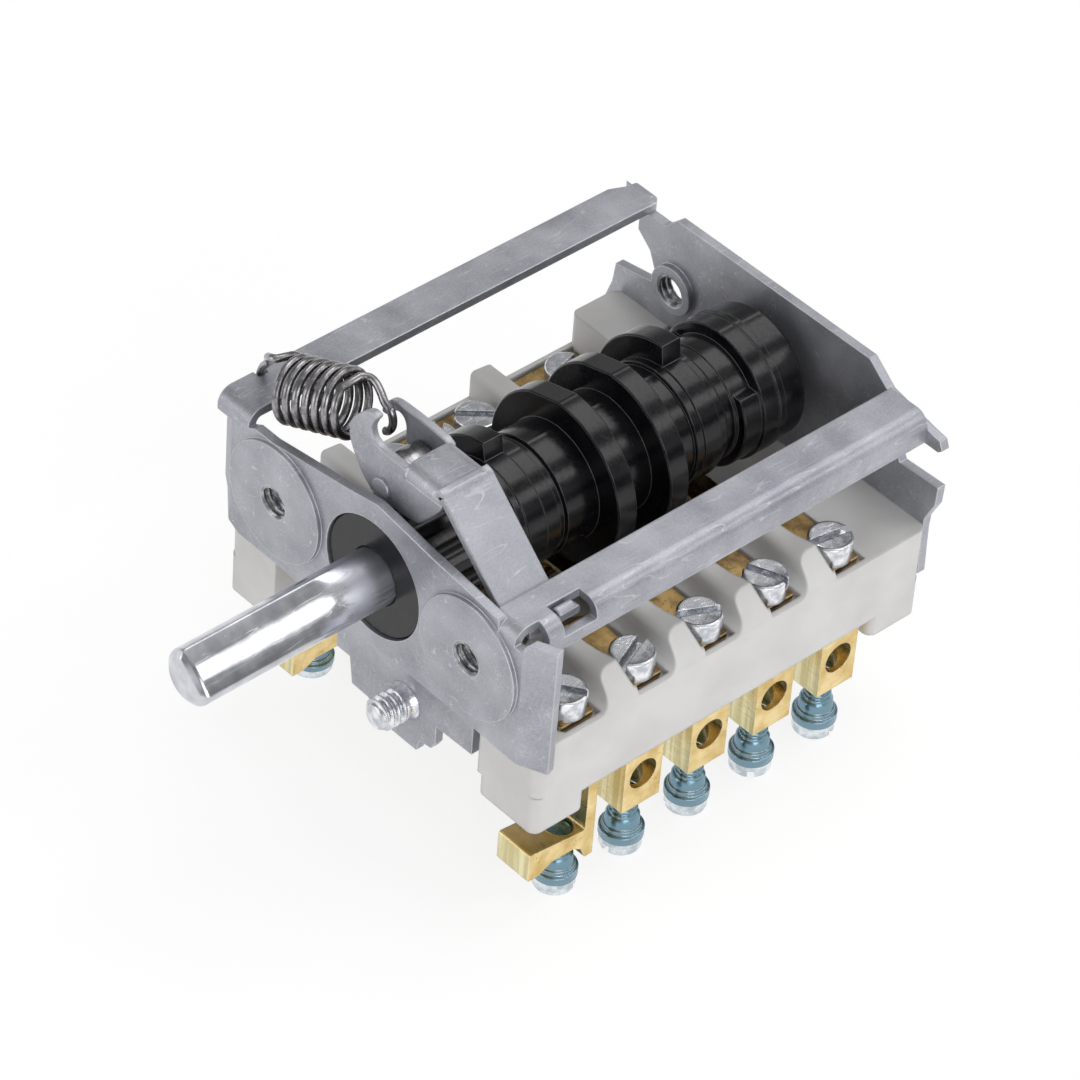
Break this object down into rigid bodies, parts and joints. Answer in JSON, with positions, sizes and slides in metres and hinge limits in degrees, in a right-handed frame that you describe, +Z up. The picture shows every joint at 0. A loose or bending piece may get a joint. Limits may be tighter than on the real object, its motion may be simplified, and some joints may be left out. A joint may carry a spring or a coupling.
{
  "type": "oven selector switch",
  "caption": "Rotary cam switch for an oven: knob shaft and cam drum between steel end plates, sprung detent lever with a roller, ceramic base with screw terminals on both sides.",
  "frame": {"origin": "where the shaft axis meets the plane of the two mounting pads", "axes": "+X right seen from the knob, +Y from the knob towards the rear plate, +Z up, terminals below"},
  "size_m": [0.0478, 0.0776, 0.0455],
  "materials": {
    "plated_steel": "dull zinc plated sheet",
    "ceramic": "unglazed steatite",
    "bright_steel": "bright plated turned steel",
    "drum_plastic": "black moulded phenolic",
    "spring_steel": "drawn spring wire",
    "zinc_screw": "zinc plated screw",
    "blue_zinc": "blue passivated zinc",
    "terminal_brass": "machined brass",
    "contact_brass": "tarnished rolled brass"
  },
  "bodies": {
    "housing": {"front_frame": "plated_steel", "rear_plate": "plated_steel", "ceramic_base": "ceramic", "earth_stud": "zinc_screw", "detent_spring": "spring_steel", "contact_screws_left": "zinc_screw", "clamp_screws_left": "blue_zinc", "terminal_left_1": "terminal_brass", "contact_bar_left_1": "contact_brass", "terminal_left_2": "terminal_brass", "contact_bar_left_2": "contact_brass", "terminal_left_3": "terminal_brass", "contact_bar_left_3": "contact_brass", "terminal_left_4": "terminal_brass", "contact_bar_left_4": "contact_brass", "terminal_left_5": "terminal_brass", "contact_bar_left_5": "contact_brass", "contact_screws_right": "zinc_screw", "clamp_screws_right": "blue_zinc", "terminal_right_1": "terminal_brass", "contact_bar_right_1": "contact_brass", "terminal_right_2": "terminal_brass", "contact_bar_right_2": "contact_brass", "terminal_right_3": "terminal_brass", "contact_bar_right_3": "contact_brass", "terminal_right_4": "terminal_brass", "contact_bar_right_4": "contact_brass", "terminal_right_5": "terminal_brass", "contact_bar_right_5": "contact_brass", "moving_contact_1": "contact_brass", "fixed_contact_1": "contact_brass", "moving_contact_2": "contact_brass", "fixed_contact_2": "contact_brass", "moving_contact_3": "contact_brass", "fixed_contact_3": "contact_brass", "moving_contact_4": "contact_brass", "fixed_contact_4": "contact_brass", "moving_contact_5": "contact_brass", "fixed_contact_5": "contact_brass"},
    "drum": {"cam_drum": "drum_plastic", "selector_shaft": "bright_steel"},
    "lever": {"detent_lever": "plated_steel", "roller_pin": "zinc_screw"},
    "roller": {"detent_roller": "bright_steel"}
  },
  "joints": [
    {"name": "drum_turn", "type": "hinge", "parent": "housing", "child": "drum", "pos_m": [0, 0, 0], "axis": [0, 1, 0], "continuous": true},
    {"name": "lever_lift", "type": "hinge", "parent": "housing", "child": "lever", "pos_m": [0.0163, 0.0056, 0.0056], "axis": [0, 1, 0], "range_deg": [0, 3], "stiffness_Nm_per_rad": 0.02, "springref_deg": -11.46, "deforming": ["detent_spring"]},
    {"name": "roller_spin", "type": "hinge", "parent": "lever", "child": "roller", "pos_m": [-0.0014, 0.00565, 0.0093], "axis": [0, 1, 0], "continuous": true}
  ]
}
